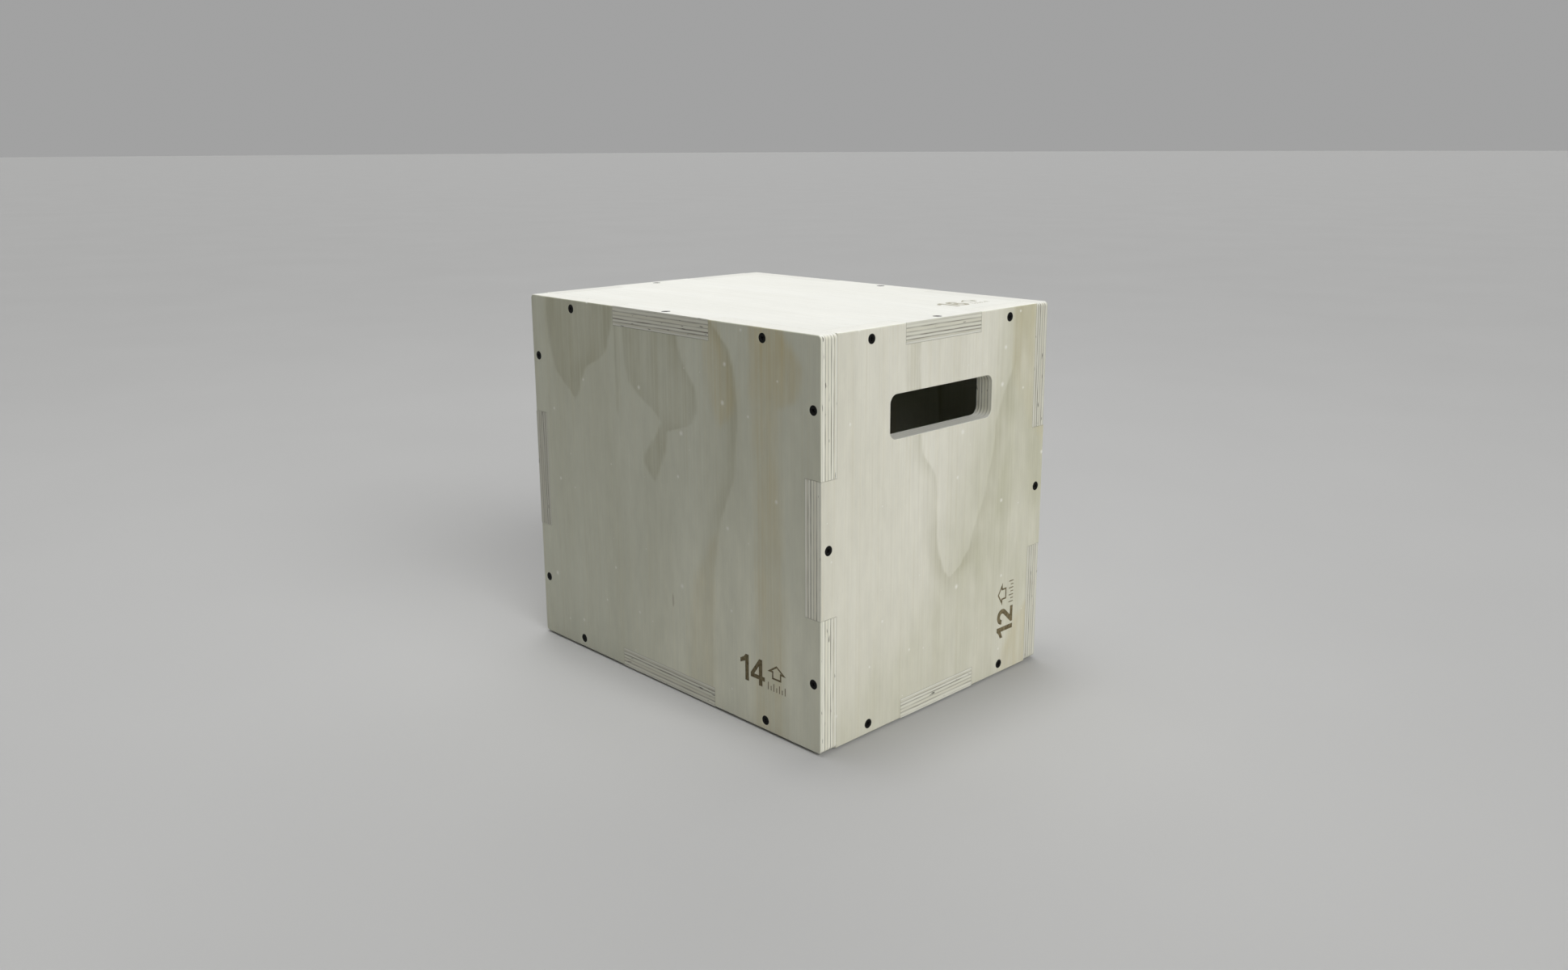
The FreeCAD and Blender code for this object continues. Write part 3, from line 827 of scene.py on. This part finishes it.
def makeMark(name, place, m):
    shape = bmesh.new()
    side = drawDigits(shape, place["digits"], m) + m["sideGap"]
    arrow = shape.faces.new([shape.verts.new((side + x, y, 0)) for x, y in m["arrow"]])
    arrow.normal_update()
    bmesh.ops.inset_region(
        shape, faces=[arrow], thickness=m["arrowLine"], use_even_offset=True, use_boundary=True,
    )
    bmesh.ops.delete(shape, geom=[arrow], context="FACES")
    for index in range(m["ticks"]):
        height = m["tickHeights"][index % 2]
        middle = Matrix.Translation((side + m["tickFrom"] + index * m["tickStep"], height / 2, 0))
        bmesh.ops.create_grid(
            shape, x_segments=1, y_segments=1, size=0.5,
            matrix=middle @ Matrix.Diagonal((m["tickWidth"], height, 1, 1)),
        )
    bmesh.ops.recalc_face_normals(shape, faces=shape.faces)
    bmesh.ops.translate(shape, vec=(0, 0, -m["sunk"]), verts=shape.verts)
    raised = bmesh.ops.extrude_face_region(shape, geom=list(shape.faces))["geom"]
    bmesh.ops.translate(
        shape, vec=(0, 0, m["sunk"] + m["proud"]),
        verts=[item for item in raised if isinstance(item, bmesh.types.BMVert)],
    )
    bmesh.ops.recalc_face_normals(shape, faces=shape.faces)
    right, up = Vector(place["right"]), Vector(place["up"])
    turn = Matrix([right, up, right.cross(up)]).transposed().to_4x4()
    face = outerMiddle(place["panel"], Vector(panels[place["panel"]]["inward"]))
    corner = Matrix.Translation(face + Vector(place["corner"]) * millimetre)
    bmesh.ops.transform(shape, matrix=corner @ turn @ Matrix.Scale(millimetre, 4), verts=shape.verts)
    mesh = bpy.data.meshes.new(name)
    shape.to_mesh(mesh)
    shape.free()
    finish = {**burntVeneer, "tones": place["tones"]}
    mesh.materials.append(mottledFinish("laser_burnt_veneer_" + place["digits"], finish))
    piece = bpy.data.objects.new(name, mesh)
    scene.collection.objects.link(piece)
    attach(piece, "root")


for name, place in marks.items():
    makeMark(name, place, mark)
print("height marks made:", len(marks))

# Plain pale floor, in metres, big enough that its far rim is the horizon. It lies a little below the box, as
# the hollows of a gritty floor do, which leaves a dark line under the box.
floor = {
    "radius": 60.0,
    "sides": 64,
    "drop": 0.0018,
    "tones": ("#B7B7B6", "#BDBDBC"),
    "patch": 0.4,
    "octaves": 2,
    "roughness": 0.9,
}


def makeFloor(f):
    mesh = bpy.data.meshes.new("floor")
    shape = bmesh.new()
    level = Matrix.Translation((0, 0, -f["drop"]))
    bmesh.ops.create_circle(shape, cap_ends=True, segments=f["sides"], radius=f["radius"], matrix=level)
    shape.to_mesh(mesh)
    shape.free()
    ground = bpy.data.objects.new("floor", mesh)
    scene.collection.objects.link(ground)
    # painted concrete: matt, even, with faint broad patches
    material, tree, shader = newMaterial("painted_concrete")
    patches = addNode(tree, "TexNoise", {
        "Vector": addNode(tree, "TexCoord").outputs["Object"],
        "Scale": 1 / f["patch"], "Detail": f["octaves"],
    })
    dark, light = f["tones"]
    tone = addNode(tree, "Mix", {"Factor": patches, "A": colour(dark), "B": colour(light)}, data_type="RGBA")
    setInputs(tree, shader, {"Base Color": tone, "Roughness": f["roughness"]})
    mesh.materials.append(material)


# Lamps: a sun has the way it lies, how many degrees wide it looks and its strength; the softbox overhead has
# its place and width in metres and its power in watts.
lamps = {
    "key": {"kind": "SUN", "spot": (-0.12, 0.0, 0.99), "spread": 18, "strength": 1.05},
    "softbox": {"kind": "AREA", "spot": (-0.25, 0.05, 2.3), "width": 1.4, "strength": 11.5},
    "side": {"kind": "SUN", "spot": (0.86, -0.14, 0.5), "spread": 46, "strength": 2.06},
    "back": {"kind": "SUN", "spot": (-0.62, 0.72, 0.3), "spread": 60, "strength": 0.75},
}
# even light all round, and how bright it looks
studio = {"tone": "#FFFFFF", "fill": 0.04, "backdrop": 0.36}


def makeLamp(name, lamp):
    data = bpy.data.lights.new(name, lamp["kind"])
    data.energy = lamp["strength"]
    if lamp["kind"] == "SUN":
        data.angle = math.radians(lamp["spread"])
    else:
        data.shape = "DISK"
        data.size = lamp["width"]
    hung = bpy.data.objects.new(name, data)
    aim = Vector(lamp["spot"]).to_track_quat("Z", "Y").to_matrix().to_4x4()
    hung.matrix_world = Matrix.Translation(lamp["spot"]) @ aim
    hung.visible_camera = False
    scene.collection.objects.link(hung)


def makeStudio(s):
    world = bpy.data.worlds.new("studio")
    scene.world = world
    world.use_nodes = True
    tree = world.node_tree
    ray = addNode(tree, "LightPath").outputs
    seen = addNode(tree, "Math", {0: ray["Is Camera Ray"], 1: ray["Is Glossy Ray"]}, operation="MAXIMUM")
    seen = addNode(tree, "Math", {0: seen, 1: ray["Is Transmission Ray"]}, operation="MAXIMUM")
    strength = addNode(tree, "MapRange", {"Value": seen, "To Min": s["fill"], "To Max": s["backdrop"]})
    setInputs(tree, tree.nodes["Background"], {"Color": colour(s["tone"]), "Strength": strength})


makeFloor(floor)
for name, lamp in lamps.items():
    makeLamp(name, lamp)
makeStudio(studio)
print("floor and light set")
